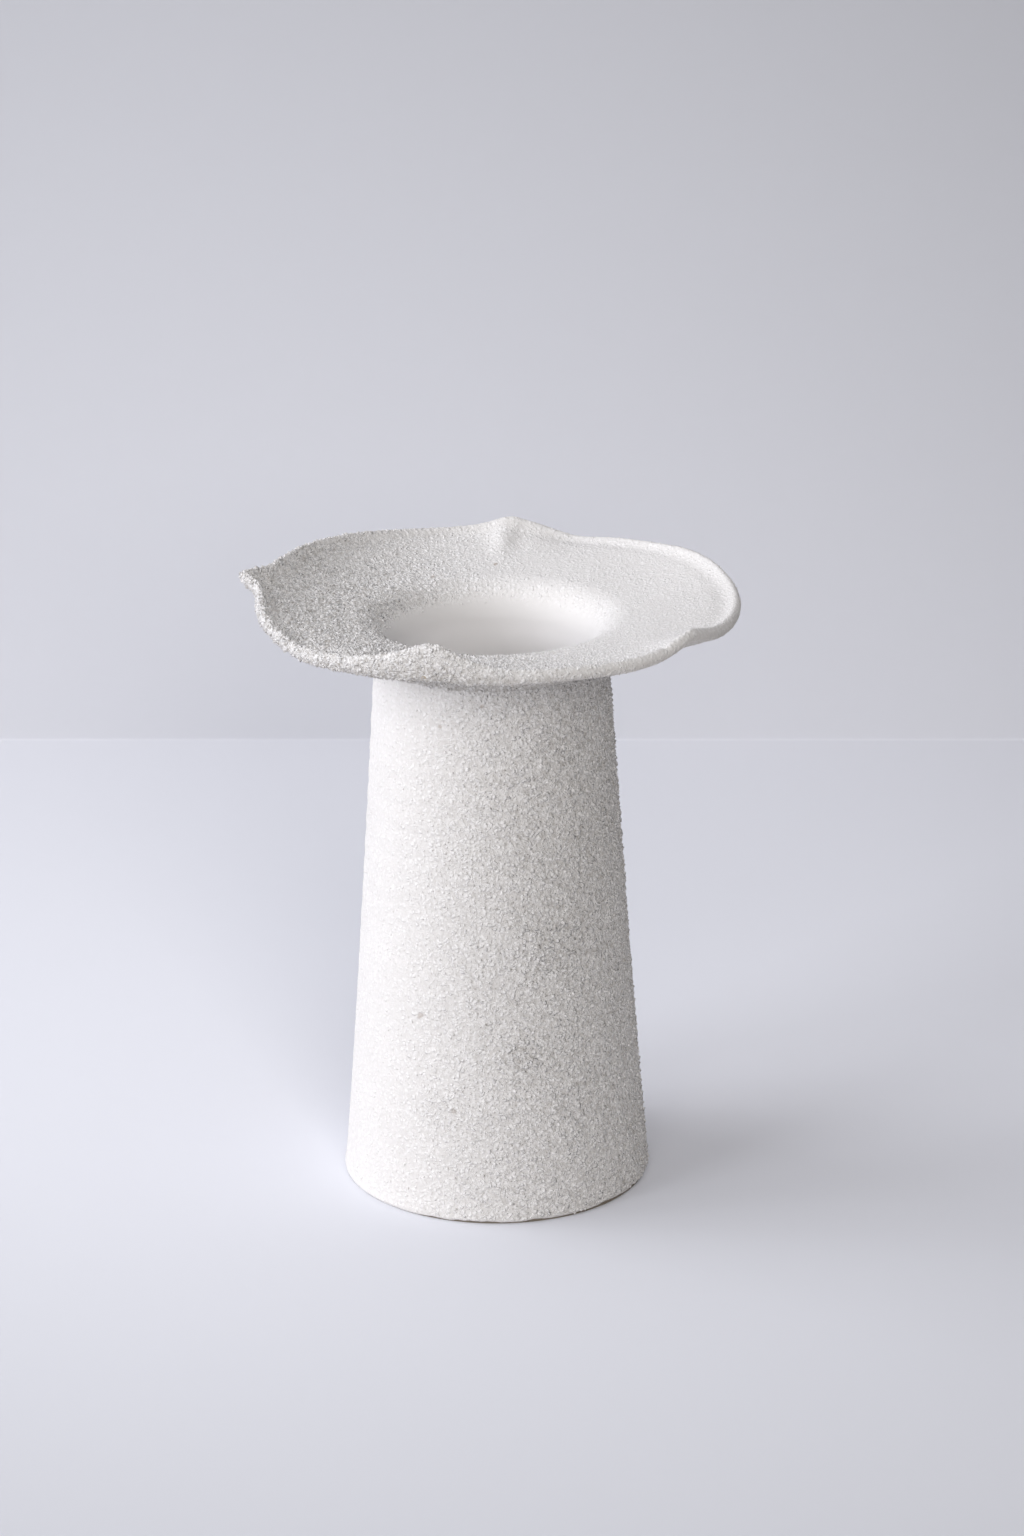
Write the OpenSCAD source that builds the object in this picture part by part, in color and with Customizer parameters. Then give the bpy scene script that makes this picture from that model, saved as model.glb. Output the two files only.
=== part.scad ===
// Tall ceramic vase: a tapered thrown body on a trimmed foot, carrying a wide wavy leaf-shaped rim.
// Clay pieces are luted together; a sandy grit coat covers the outside and a smooth liner seals the inside.
// Origin: centre of the resting face of the foot. +Z up, front of the vase towards -Y.

/* [Body] */
// Radius of the foot, over the grit coat
foot_r = 60; // [52:1:75]
// Radius of the neck, over the grit coat
neck_r = 44.6; // [40:0.2:50]
// Height at which the leaf is joined to the neck
neck_z = 211; // [140:1:300]
// Curve of the side from foot to neck: 1 is a straight cone, less flares at the foot
flare_power = 0.87; // [0.7:0.01:1]
// Thickness of the clay wall at the foot
wall_foot_t = 6.8; // [5.5:0.1:9]
// Thickness of the clay wall at the neck
wall_neck_t = 4.2; // [3.6:0.1:6]
// Lean of the pot towards -X, in degrees
lean_deg = 0.5; // [0:0.1:1]

/* [Foot and floor] */
// Height of the trimmed foot ring
foot_h = 5; // [4:0.5:8]
// Width of the foot ring
foot_w = 9.5; // [9:0.5:14]
// Thickness of the floor slab
floor_t = 6; // [4:0.5:10]
// Depth of the rebate in the wall that takes the floor slab
floor_rebate = 2.5; // [1:0.1:3.5]
// Width of the coil pressed into the corner of floor and wall
floor_coil_w = 6; // [3:0.5:9]

/* [Coats] */
// Thickness of the grit coat
grit_t = 1.2; // [0.8:0.1:1.8]
// Thickness of the smooth liner
liner_t = 0.6; // [0.4:0.1:0.8]
// Height of bare clay that shows under the grit coat at the foot
bare_h = 0.9; // [0.8:0.1:2]
// Rounding of the lower edge of the grit coat
coat_round = 1.5; // [1:0.1:3]

/* [Throat] */
// Straight height of the throat above the neck joint
throat_h = 1.6; // [1:0.1:6]
// Width of the roll that opens the throat into the leaf
roll_w = 16; // [12:0.5:20]
// Height of that roll
roll_h = 15; // [12:0.5:16]
// Length of the spigot that seats the leaf in the neck
spigot_len = 8; // [5:0.5:12]
// Thickness of the spigot
spigot_t = 2; // [1.6:0.1:2.2]
// Slip-filled clearance around the spigot
slip_gap = 0.1; // [0.05:0.01:0.2]

/* [Leaf] */
// Mean radius of the leaf
leaf_r = 92.6; // [80:0.2:110]
// How far the leaf sits off centre, to the right
leaf_shift_x = 2.7; // [0:0.1:4]
// How far the leaf sits off centre, to the front
leaf_shift_y = 0.8; // [0:0.1:4]
// Mean height of the lip above the neck joint
rim_h = 21.9; // [19:0.1:30]
// Thickness of the lip, over its coats
lip_t = 4.6; // [4.4:0.1:7]
// Depth of the rounding on the lip's edge
lip_round = 2.6; // [2:0.1:3.5]
// Width of the sweep from the neck to the underside of the leaf
sweep_w = 8; // [6:0.5:14]
// Height of that sweep
sweep_h = 6; // [5:0.1:8]

/* [Corners of the leaf] */
// Height of the tallest pinched corner above the rim
corner_lift = 11.2; // [0:0.1:15]
// How far the longest pinched corner reaches out
corner_reach = 8.7; // [0:0.1:12]
// How much thicker the lip is at its thickest corner
corner_depth = 9.6; // [0:0.1:12]
// Half-angle of the broadest corner, in degrees
corner_span = 15; // [12:0.5:20]
// Height of the highest swell between corners
swell_lift = 7; // [0:0.1:10]
// How far the rim draws in at a swell
swell_draw = 0.9; // [0:0.1:3]
// Half-angle of the broadest swell, in degrees
swell_span = 40; // [30:1:50]
// How fast the waves of the rim die out towards the throat
wave_power = 3.6; // [2:0.1:5]

/* [Hidden] */

// Corners run left, back, right front and front: direction, then shares of the tallest, longest and thickest
corner_deg = [172, 84, 322, 258];
corner_lift_shares = [0.25, 0.44, 0.5, 1];
corner_reach_shares = [0.95, 0.04, 0.08, 0.12];
corner_depth_shares = [0, 0, 0, 1];
// Shares of the broadest: the flank before a corner and the flank after it, going anticlockwise
corner_before_shares = [0.36, 0.6, 0.57, 1];
corner_after_shares = [0.21, 0.6, 0.61, 0.59];
// Swells between the corners, the same way; a negative lift is a droop
swell_deg = [30, 148, 217.5, 287, 68];
swell_lift_shares = [0.46, 1, -0.26, 0.14, -0.23];
swell_draw_shares = [0, 1, 0.97, 0, 0];
swell_span_shares = [0.47, 1, 0.31, 0.39, 0.17];
corner_sharpness = 1.4;
swell_sharpness = 2;

// Clay and coats, as the eye sees them
clay_colour = [0.84, 0.80, 0.74];
coil_colour = [0.78, 0.73, 0.66];
grit_colour = [0.93, 0.92, 0.91];
liner_colour = [0.88, 0.88, 0.88];

// Steps of the outlines
body_steps = 20;
coil_steps = 5;
roll_steps = 7;
grit_edge_step = 3;
blend_steps = 3;
top_steps = 6;
nose_steps = 6;
wrap_steps = 5;
sweep_steps = 4;
leaf_sides = 120;
ring_fn = 180;
// A square-shouldered lip has a low power, a round one has 1
lip_power = 0.6;
// Spare length on a cut
overrun = 1;

// Heights
floor_z = foot_h;
floor_top = floor_z + floor_t;
coil_top = floor_top + floor_coil_w;
spigot_z = neck_z - spigot_len;
bed_z = spigot_z - slip_gap;
roll_z = neck_z + throat_h;
rim_z = neck_z + rim_h;

// Radii of the clay, inside and outside, at a height on the body
function side_r(z) = foot_r + (neck_r - foot_r) * pow(max(z, 0) / neck_z, flare_power);
function wall_t(z) = wall_foot_t + (wall_neck_t - wall_foot_t) * z / neck_z;
function clay_r(z) = side_r(z) - grit_t;
function inner_r(z) = clay_r(z) - wall_t(z);
bore_r = inner_r(neck_z);
spigot_r = bore_r + spigot_t;
socket_r = spigot_r + slip_gap;
stub_r = clay_r(neck_z);

// Heights at which the outlines of the body have their points
function steps_between(from, to, count) = [for (i = [1:count]) from + (to - from) * i / count];
outer_heights = concat([floor_z], steps_between(floor_z, neck_z, body_steps));
inner_heights = concat([floor_top, coil_top], steps_between(coil_top, bed_z, body_steps));
function clay_side() = [for (z = outer_heights) [clay_r(z), z]];
function coat_side() = [for (z = outer_heights) [side_r(z), z]];
function inner_side() = [for (z = inner_heights) [inner_r(z), z]];
function reversed(list) = [for (i = [len(list) - 1:-1:0]) list[i]];

// The foot ring's side is straight, and the grit coat ends on it
function foot_side_r(z) = clay_r(0) + (clay_r(floor_z) - clay_r(0)) * z / floor_z;

// Corner where the floor slab meets the wall, filled by a coil with a hollow face
coil_inner_r = inner_r(coil_top) - floor_coil_w;
function coil_face() = [for (i = [0:coil_steps]) let (a = -90 + 90 * i / coil_steps)
    [coil_inner_r + floor_coil_w * cos(a), coil_top + floor_coil_w * sin(a)]];

// Waves of the rim
function total(list, i = 0) = i < len(list) ? list[i] + total(list, i + 1) : 0;
function away(a, b) = a - b - 360 * round((a - b) / 360);
function bump(a, centre, half, sharpness) = exp(-pow(abs(away(a, centre)) / half, sharpness));
function flank_share(a, i) = away(a, corner_deg[i]) < 0 ? corner_before_shares[i] : corner_after_shares[i];
function corner(a, i) = bump(a, corner_deg[i], corner_span * flank_share(a, i), corner_sharpness);
function swell(a, i) = bump(a, swell_deg[i], swell_span * swell_span_shares[i], swell_sharpness);
function corners(a, shares) = total([for (i = [0:len(corner_deg) - 1]) shares[i] * corner(a, i)]);
function swells(a, shares) = total([for (i = [0:len(swell_deg) - 1]) shares[i] * swell(a, i)]);
function rim_r(a) = leaf_r + leaf_shift_x * cos(a) - leaf_shift_y * sin(a)
    + corner_reach * corners(a, corner_reach_shares) - swell_draw * swells(a, swell_draw_shares);
function rise(a) = corner_lift * corners(a, corner_lift_shares) + swell_lift * swells(a, swell_lift_shares);
function depth(a) = corner_depth * corners(a, corner_depth_shares);

// Roll of the throat and sweep under the leaf, each an elliptic arc that ends where it meets the leaf's slope
roll_r = bore_r - liner_t + roll_w;
top_slope = (rim_z - roll_z - roll_h) / (leaf_r - roll_r);
roll_end = 90 - atan(top_slope * roll_w / roll_h);
function roll_point(a) = [roll_r - roll_w * cos(a), roll_z + roll_h * sin(a)];
sweep_r = neck_r + sweep_w;
sweep_slope = (rim_z - lip_t - neck_z - sweep_h) / (leaf_r - sweep_r);
sweep_end = 90 - atan(sweep_slope * sweep_w / sweep_h);
function sweep_point(a) = [sweep_r - sweep_w * cos(a), neck_z + sweep_h * sin(a)];

// A point a share of the way from the throat or the neck out to the lip, with its share of the wave
function leaf_point(start, edge, share, lift) =
    start + (edge - start) * share + [0, lift * pow(share, wave_power)];
function signed_power(x) = sign(x) * pow(abs(x), lip_power);
function nose_point(a, b) = [rim_r(a) - lip_round + lip_round * signed_power(cos(b)),
    rim_z + rise(a) - (lip_t + depth(a)) / 2 * (1 - signed_power(sin(b)))];

// Finished outline of the leaf at one direction: throat, top, round the lip, underside, down to the neck
function leaf_outline(a) = let (r = rim_r(a) - lip_round) concat(
    [for (i = [0:roll_steps]) roll_point(roll_end * i / roll_steps)],
    [for (i = [1:top_steps]) leaf_point(roll_point(roll_end), [r, rim_z], i / top_steps, rise(a))],
    [for (i = [1:nose_steps]) nose_point(a, 90 - 180 * i / nose_steps)],
    [for (i = [1:top_steps])
        leaf_point(sweep_point(sweep_end), [r, rim_z - lip_t], 1 - i / top_steps, rise(a) - depth(a))],
    [for (i = [1:sweep_steps]) sweep_point(sweep_end * (1 - i / sweep_steps))]);

// The coat starts as thin as the liner where they meet in the throat
function coat_t(i) = liner_t + (grit_t - liner_t) * min(max((i - grit_edge_step) / blend_steps, 0), 1);
function outward(line, i) = let (t = line[min(i + 1, len(line) - 1)] - line[max(i - 1, 0)])
    [-t[1], t[0]] / norm(t);
function under_coat(line) = [for (i = [0:len(line) - 1])
    i == len(line) - 1 ? [stub_r, neck_z] :
    i == 0 ? [bore_r, roll_z] : line[i] - coat_t(i) * outward(line, i)];

// Stations along that outline
wrap_end = roll_steps + top_steps + wrap_steps;
sweep_start = roll_steps + 2 * top_steps + nose_steps;
last_station = sweep_start + sweep_steps;
function part_of(list, from, to) = [for (i = [from:to]) list[i]];
function corner_under_leaf(clay) = let (p = clay[sweep_start], q = clay[sweep_start - 1])
    [stub_r, p[1] - (q[1] - p[1]) / (q[0] - p[0]) * (p[0] - stub_r)];

// Closed sections of the pieces that follow the leaf
function leaf_section(a) = let (clay = under_coat(leaf_outline(a))) concat(
    [[inner_r(spigot_z), spigot_z], [bore_r, neck_z]], part_of(clay, 0, sweep_start),
    [corner_under_leaf(clay), [stub_r, neck_z], [spigot_r, neck_z], [spigot_r, spigot_z]]);
function neck_coil_section(a) = let (clay = under_coat(leaf_outline(a)))
    concat([corner_under_leaf(clay)], reversed(part_of(clay, sweep_start, last_station)));
function coat_section(a, from, to) = let (face = leaf_outline(a), clay = under_coat(face))
    concat(part_of(clay, from, to), reversed(part_of(face, from, to)));

// A ring of closed sections; its flats stay outside the true circles that it meets
ring_fit = 1 / cos(180 / leaf_sides);
function ring_point(p, a) = [p[0] * ring_fit * cos(a), p[0] * ring_fit * sin(a), p[1]];
function side_angle(i) = 360 * i / leaf_sides;
module ring_solid(sections, inside_out = false) {
    count = len(sections[0]);
    points = [for (i = [0:leaf_sides - 1]) for (p = sections[i]) ring_point(p, side_angle(i))];
    function at(i, j) = (i % leaf_sides) * count + j % count;
    faces = [for (i = [0:leaf_sides - 1]) for (j = [0:count - 1])
        let (a = at(i, j), b = at(i, j + 1), c = at(i + 1, j + 1), d = at(i + 1, j))
        each inside_out ? [[a, c, b], [a, d, c]] : [[a, b, c], [a, c, d]]];
    polyhedron(points, faces);
}

module leaning() {
    rotate([0, -lean_deg, 0]) children();
}

// Everything below the table top, taken off the foot so that the leaning pot stands flat
module below_table() {
    width = 2 * (foot_r + overrun);
    depth = foot_r * sin(lean_deg) + 2 * overrun;
    translate([-width / 2, -width / 2, -depth]) cube([width, width, depth]);
}

module foot_ring() {
    start_z = -foot_r * sin(lean_deg) - overrun;
    color(clay_colour) difference() {
        leaning() rotate_extrude($fn = ring_fn) polygon([
            [clay_r(0) - foot_w, start_z], [clay_r(0), start_z], [clay_r(0), 0],
            [clay_r(floor_z), floor_z], [clay_r(0) - foot_w, floor_z]]);
        below_table();
    }
}

module floor_disc() {
    color(clay_colour) leaning() translate([0, 0, floor_z])
        cylinder(r = inner_r(floor_top) + floor_rebate, h = floor_t, $fn = ring_fn);
}

module floor_coil() {
    color(coil_colour) leaning() rotate_extrude($fn = ring_fn) polygon(concat(
        coil_face(), [[inner_r(floor_top), floor_top]]));
}

module body_wall() {
    rebate_r = inner_r(floor_top) + floor_rebate;
    color(clay_colour) leaning() rotate_extrude($fn = ring_fn) polygon(concat(
        clay_side(), [[socket_r, neck_z], [socket_r, bed_z]], reversed(inner_side()),
        [[rebate_r, floor_top], [rebate_r, floor_z]]));
}

module neck_coil() {
    color(coil_colour) leaning()
        ring_solid([for (i = [0:leaf_sides - 1]) neck_coil_section(side_angle(i))], inside_out = true);
}

module leaf_rim() {
    color(clay_colour) leaning()
        ring_solid([for (i = [0:leaf_sides - 1]) leaf_section(side_angle(i))]);
}

// Smooth skin over the floor, the coil, the wall and the throat, up to the edge of the grit
module liner_glaze() {
    throat = leaf_outline(0);
    clay = concat([[0, floor_top]], coil_face(), part_of(inner_side(), 2, len(inner_heights) - 1),
        [[inner_r(spigot_z), spigot_z], [bore_r, neck_z]]);
    face = [for (i = [0:len(clay) - 1]) clay[i] + liner_t * outward(clay, i)];
    color(liner_colour) leaning() rotate_extrude($fn = ring_fn) polygon(concat(
        clay, part_of(under_coat(throat), 0, grit_edge_step),
        reversed(part_of(throat, 0, grit_edge_step)), reversed(face)));
}

module body_grit_coat() {
    low_r = foot_side_r(bare_h);
    color(grit_colour) leaning() rotate_extrude($fn = ring_fn) polygon(concat(
        [[low_r, bare_h]], clay_side(), reversed(coat_side()),
        [for (i = [0:coil_steps - 1]) let (a = 90 * i / coil_steps)
            [low_r + grit_t * cos(a), bare_h + coat_round * (1 - sin(a))]]));
}

module leaf_underside_grit_coat() {
    color(grit_colour) leaning() ring_solid(inside_out = true,
        [for (i = [0:leaf_sides - 1]) coat_section(side_angle(i), wrap_end, last_station)]);
}

module leaf_top_grit_coat() {
    color(grit_colour) leaning() ring_solid(inside_out = true,
        [for (i = [0:leaf_sides - 1]) coat_section(side_angle(i), grit_edge_step, wrap_end)]);
}

foot_ring();
floor_disc();
floor_coil();
body_wall();
neck_coil();
leaf_rim();
liner_glaze();
body_grit_coat();
leaf_underside_grit_coat();
leaf_top_grit_coat();
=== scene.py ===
"""Tall ceramic vase: the grit coats, smooth liner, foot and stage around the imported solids."""

import math

import bpy
import numpy as np
from bpy.props import FloatProperty, FloatVectorProperty, PointerProperty
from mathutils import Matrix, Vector


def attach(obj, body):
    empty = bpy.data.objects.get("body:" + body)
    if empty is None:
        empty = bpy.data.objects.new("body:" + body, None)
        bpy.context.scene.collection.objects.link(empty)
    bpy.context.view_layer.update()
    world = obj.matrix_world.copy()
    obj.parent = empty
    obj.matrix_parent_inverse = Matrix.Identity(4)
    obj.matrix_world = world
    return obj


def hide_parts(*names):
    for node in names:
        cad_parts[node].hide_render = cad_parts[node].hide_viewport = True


bl_info = {
    "name": "Leaf-rimmed ceramic vase",
    "version": (1, 0, 0),
    "blender": (4, 5, 0),
    "location": "3D View > Sidebar > Vase",
    "description": "Builds the coats, liner, foot and stage of a tall vase with a wavy leaf-shaped rim",
    "category": "Add Mesh",
}

MM = 0.001

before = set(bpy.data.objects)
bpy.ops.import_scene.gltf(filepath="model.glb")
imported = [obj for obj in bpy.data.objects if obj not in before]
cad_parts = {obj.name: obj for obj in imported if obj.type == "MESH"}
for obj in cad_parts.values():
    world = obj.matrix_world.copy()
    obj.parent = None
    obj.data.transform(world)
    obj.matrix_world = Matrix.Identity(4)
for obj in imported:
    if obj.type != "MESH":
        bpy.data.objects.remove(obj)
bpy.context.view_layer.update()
BODY = "root"

# Height of the photograph in pixels, and the camera's sensor along it in millimetres
PHOTO_HEIGHT = 1536
SENSOR = 36.0


def in_mm(*lengths):
    """Lengths in millimetres, as a tuple of metres."""
    return tuple(value * MM for value in lengths)


# Corners run left, back, right front and front: direction in degrees, then shares of the tallest,
# longest and thickest
CORNER_DIRECTIONS = (172, 84, 322, 258)
CORNER_LIFT_SHARES = (0.25, 0.44, 0.5, 1)
CORNER_REACH_SHARES = (0.95, 0.04, 0.08, 0.12)
CORNER_DEPTH_SHARES = (0, 0, 0, 1)
# Shares of the broadest: the flank before a corner and the flank after it, going anticlockwise
CORNER_BEFORE_SHARES = (0.36, 0.6, 0.57, 1)
CORNER_AFTER_SHARES = (0.21, 0.6, 0.61, 0.59)
CORNER_SHARPNESS = 1.4
# Swells between the corners, the same way; a negative lift is a droop
SWELL_DIRECTIONS = (30, 148, 217.5, 287, 68)
SWELL_LIFT_SHARES = (0.46, 1, -0.26, 0.14, -0.23)
SWELL_DRAW_SHARES = (0, 1, 0.97, 0, 0)
SWELL_SPAN_SHARES = (0.47, 1, 0.31, 0.39, 0.17)
SWELL_SHARPNESS = 2.0

# What the hands left on the leaf: direction and half-angle in degrees, share of the way out to the lip
# and its half-width, and height
LEAF_MARKS = (
    (172.5, 4.5, 0.83, 0.13, -0.8 * MM),
    (87, 3.2, 0.75, 0.3, 1.3 * MM),
    (82, 3.0, 0.8, 0.25, -0.5 * MM),
    (260.0, 3.6, 1.0, 0.12, -0.8 * MM),
    (254.5, 1.0, 1.0, 0.07, 0.35 * MM),
    (261.2, 0.7, 1.0, 0.07, 0.4 * MM),
    (313.5, 0.9, 1.0, 0.06, -0.8 * MM),
)
MARK_SHARPNESS = 2.0
# Coarse patches on the body: centre and radius
BODY_PATCHES = (
    (in_mm(20.6, -46.6, 112.0), 14 * MM),
    (in_mm(12.9, -52.7, 65.7), 10 * MM),
    (in_mm(-21.5, -51.8, 44.5), 8 * MM),
)
# Brown spots in the grit, and small pits drawn only as dark brown dots of painted shade: centre, radius, and
# how much each darkens the grit
GRIT_SPOTS_AND_PAINTED_PITS = (
    (in_mm(-29.1, -45.1, 81.0), 1.9 * MM, 0.45),
    (in_mm(-16.1, -53.8, 44.5), 1.6 * MM, 0.35),
    (in_mm(-0.6, 60.4, 228.6), 1.1 * MM, 0.8),
    (in_mm(-24.4, 47.4, 227.3), 1.3 * MM, 0.5),
    (in_mm(-20.9, -41.3, 196.0), 1.0 * MM, 0.5),
    (in_mm(-5.1, -44.8, 205.1), 1.0 * MM, 0.6),
)

# Roughness, where 1 is full: the cosine from the rough side up to which it is least, and that side's value
LEAST_UP_TO = -0.65
ROUGHEST_SIDE = 1.2
# What a patch adds, the shares of its radius at which it is gone and full, and the most there is
PATCH_ADDS = 0.3
PATCH_GONE, PATCH_FULL = 1.6, 0.2
ROUGHNESS_LIMIT = 1.4
# The share of the relief that smooth grit has, and what full roughness adds to it
SMOOTH_RELIEF, ROUGH_RELIEF = 0.15, 1.15

# Points closer than this are made one, and edges that bend more than this, in radians, are sharp
WELD = 0.001 * MM
CREASE = 1.0
# The cover from 0 to 1 at which the first grit shows, and at which the coat is full
LEAST_COVER, FULL_COVER = 0.1, 0.9
# Depth of the potter's rings, and how fast they follow each other in radians a metre
BAND_DEPTH = 0.12 * MM
BAND_RATE = 620.0
# Notches in the body coat's lower edge: greatest depth, and the height up to which they reach
CHIP_DEPTH = 0.8 * MM
CHIP_REACH = 3 * MM

# The grains that the shader draws: their size, how strongly their random tone and the painted shade in their
# hollows show, their bump and their shine
SHADED_GRAIN = 1.75 * MM
GRAIN_TONE_AND_HOLLOW_SHADE = 1.6
GRIT_BUMP = 0.65 * MM
GRIT_SHINE = 0.4
# The part of a soft noise over which a cloud of colour comes and goes
CLOUD_SPAN = (0.3, 0.7)

# Painted light: the paper of the backdrop is brightest behind the vase and darkens away from there
PAPER_PAINTED_LIGHT_CENTRE = in_mm(15, 158, -133)
PAPER_PAINTED_LIGHT_PEAK = 1.195
PAPER_PAINTED_LIGHT_FADE = 0.851
PAPER_PAINTED_LIGHT_LEAST = 0.6
PAPER_ROUGHNESS = 0.9
PAPER_SHINE = 0.1

# The liner is at its full whiteness below this height and darkens over this much above it: painted shade on
# the throat's lit roll
LINER_UNSHADED_BELOW = 207 * MM
LINER_SHADE_GROWS_OVER = 11 * MM
# Painted shade darkens the foot's clay up to this height, where it meets the floor
FOOT_SHADE_HEIGHT = 1.2 * MM

WINDOW_TINT = (0.986, 0.985, 1.012)
FILL_TINT = (1.0, 0.957, 0.9)
CEILING_TINT = (0.985, 0.98, 1.01)
# Lamps, all aimed at one point of the vase: name, place and size in metres, power in watts, and tint
LAMPS = (
    ("window_front", (-1.85, -1.4, 0.8), 0.8, 15.3, WINDOW_TINT),
    ("window", (-2.3, -0.6, 1.2), 0.8, 6.5, WINDOW_TINT),
    ("window_back", (-2.4, 0.0, 1.2), 1.2, 16.5, WINDOW_TINT),
    ("near", (-0.9, 0.25, 0.7), 0.5, 2.9, WINDOW_TINT),
    ("front", (0.0, -2.0, 1.5), 1.5, 11.2, FILL_TINT),
    ("low", (0.3, -1.6, 0.9), 0.6, 6.8, FILL_TINT),
    ("ceiling", (0.0, 0.0, 2.4), 2.4, 17.9, CEILING_TINT),
)
LAMP_TARGET = (0, 0, 0.12)
ROOM_COLOUR = (0.95, 0.97, 1.0, 1.0)
ROOM_STRENGTH = 0.01

# What each point of a section carries: where it is, its part in the rim's wave, and its coat
SECTION_LABELS = ("from_axis", "above", "share", "low", "wavy", "grit", "out_flat", "out_up", "hem")
# The two of them that the materials read as well
SHOWN_LABELS = ("grit", "low")


def length(name, description, millimetres):
    """A length that a user can set."""
    return FloatProperty(name=name, description=description, default=millimetres * MM, min=0.0,
                         unit="LENGTH", precision=5)


def angle(name, description, degrees):
    return FloatProperty(name=name, description=description, default=math.radians(degrees), subtype="ANGLE")


def number(name, description, default):
    return FloatProperty(name=name, description=description, default=default)


def colour(name, description, default):
    return FloatVectorProperty(name=name, description=description, default=default, subtype="COLOR",
                               size=3, min=0.0, max=1.0)


class VasePot(bpy.types.PropertyGroup):
    """Sizes of the turned body."""

    foot_radius: length("Foot radius", "Radius of the foot, over the grit coat", 60)
    neck_radius: length("Neck radius", "Radius of the neck, over the grit coat", 44.6)
    neck_height: length("Neck height", "Height at which the leaf is joined on", 211)
    flare_power: number("Flare", "Curve of the side: 1 is a straight cone, less flares at the foot", 0.87)
    wall_foot: length("Wall at foot", "Thickness of the clay wall at the foot", 6.8)
    wall_neck: length("Wall at neck", "Thickness of the clay wall at the neck", 4.2)
    floor_height: length("Floor height", "Height of the floor's upper face", 11)
    floor_coil: length("Floor coil", "Width of the coil in the corner of floor and wall", 6)
    bare_height: length("Bare height", "Height of bare clay under the grit coat", 0.5)
    grit_thickness: length("Grit thickness", "Thickness of the grit coat", 1.2)
    liner_thickness: length("Liner thickness", "Thickness of the smooth liner", 0.6)
    coat_round: length("Coat rounding", "Rounding of the lower edge of the grit coat", 1.5)
    lean: angle("Lean", "Lean of the pot towards -X", 0.5)


class VaseLeaf(bpy.types.PropertyGroup):
    """Sizes of the throat and the wavy leaf."""

    throat_height: length("Throat height", "Straight height of the throat above the neck joint", 1.6)
    roll_width: length("Roll width", "Width of the roll that opens the throat", 16)
    roll_height: length("Roll height", "Height of that roll", 15)
    radius: length("Leaf radius", "Mean radius of the leaf", 92.6)
    shift_x: length("Shift right", "How far the leaf sits off centre, to the right", 2.7)
    shift_y: length("Shift front", "How far the leaf sits off centre, to the front", 0.8)
    rim_height: length("Rim height", "Mean height of the lip above the neck joint", 21.9)
    lip: length("Lip", "Thickness of the lip, over its coats", 4.6)
    lip_round: length("Lip rounding", "Depth of the rounding on the lip's edge", 2.6)
    lip_power: number("Lip shape", "A square-shouldered lip has a low power, a round one has 1", 0.85)
    lip_undercut: length("Lip undercut", "How far the lower edge of the lip draws in", 0.8)
    sweep_width: length("Sweep width", "Width of the sweep from neck to underside", 8)
    sweep_height: length("Sweep height", "Height of that sweep", 6)
    corner_lift: length("Corner lift", "Height of the tallest pinched corner above the rim", 11.2)
    corner_reach: length("Corner reach", "How far the longest corner reaches out", 8.7)
    corner_depth: length("Corner depth", "How much thicker the lip is at its thickest corner", 9.6)
    corner_span: number("Corner span", "Half-angle of the broadest corner, in degrees", 15)
    swell_lift: length("Swell lift", "Height of the highest swell between corners", 7)
    swell_draw: length("Swell draw", "How far the rim draws in at a swell", 0.9)
    swell_span: number("Swell span", "Half-angle of the broadest swell, in degrees", 40)
    wave_power: number("Wave power", "How fast the waves die out towards the throat", 3.6)
    grit_edge: number("Grit edge", "Where grit meets the smooth throat, as a share of the roll's arc", 0.25)
    grit_fade: length("Grit fade", "Distance over which the grit thins out towards the throat", 7.5)
    bead_height: length("Bead height", "Height of the bead that runs along the lip", 0.9)
    bead_inset: length("Bead inset", "Distance of that bead's crest from the lip's edge", 2.2)
    bead_width: length("Bead width", "Half-width of the bead", 2)


class VaseGrit(bpy.types.PropertyGroup):
    """Relief and colours of the coats."""

    relief: length("Relief", "Depth of the lumps in the grit coat", 0.34)
    lump: length("Lump size", "Size of those lumps", 2.6)
    grain: length("Grain size", "Mean radius of a loose grain", 0.72)
    body_spacing: length("Body grain spacing", "Least distance between grains on the body", 1.42)
    leaf_spacing: length("Leaf grain spacing", "Least distance between grains on top of the leaf", 0.95)
    underside_spacing: length("Underside grain spacing", "Least distance between grains under the leaf", 1.1)
    least: number("Least roughness", "Roughness of the grit where it is finest, where 1 is full", 0.15)
    body_rough_side: angle("Body rough side", "Direction in which the body is roughest", 340)
    leaf_rough_side: angle("Leaf rough side", "Direction in which the leaf is roughest", 200)
    white: colour("Grit white", "Colour of the grit", (0.937, 0.932, 0.943))
    # The shade colour is mixed in as painted shade in the grit's hollows and on the lip's lower edge, and
    # also in random drifts and evenly
    shade: colour("Grit shade", "Colour in the hollows of the grit", (0.58, 0.562, 0.548))
    liner: colour("Liner", "Colour of the smooth liner", (0.90, 0.892, 0.902))
    # Colour of the liner's top and of the grit's smooth edge: painted shade on the throat's lit roll
    thin_liner: colour("Thin liner", "Colour of the liner where it thins out", (0.80, 0.792, 0.795))
    # Also the colour of the painted shade in the pits
    spot: colour("Spot", "Colour of the brown spots in the grit", (0.40, 0.33, 0.28))
    clay: colour("Clay", "Colour of the bare clay", (0.55, 0.48, 0.40))


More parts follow.
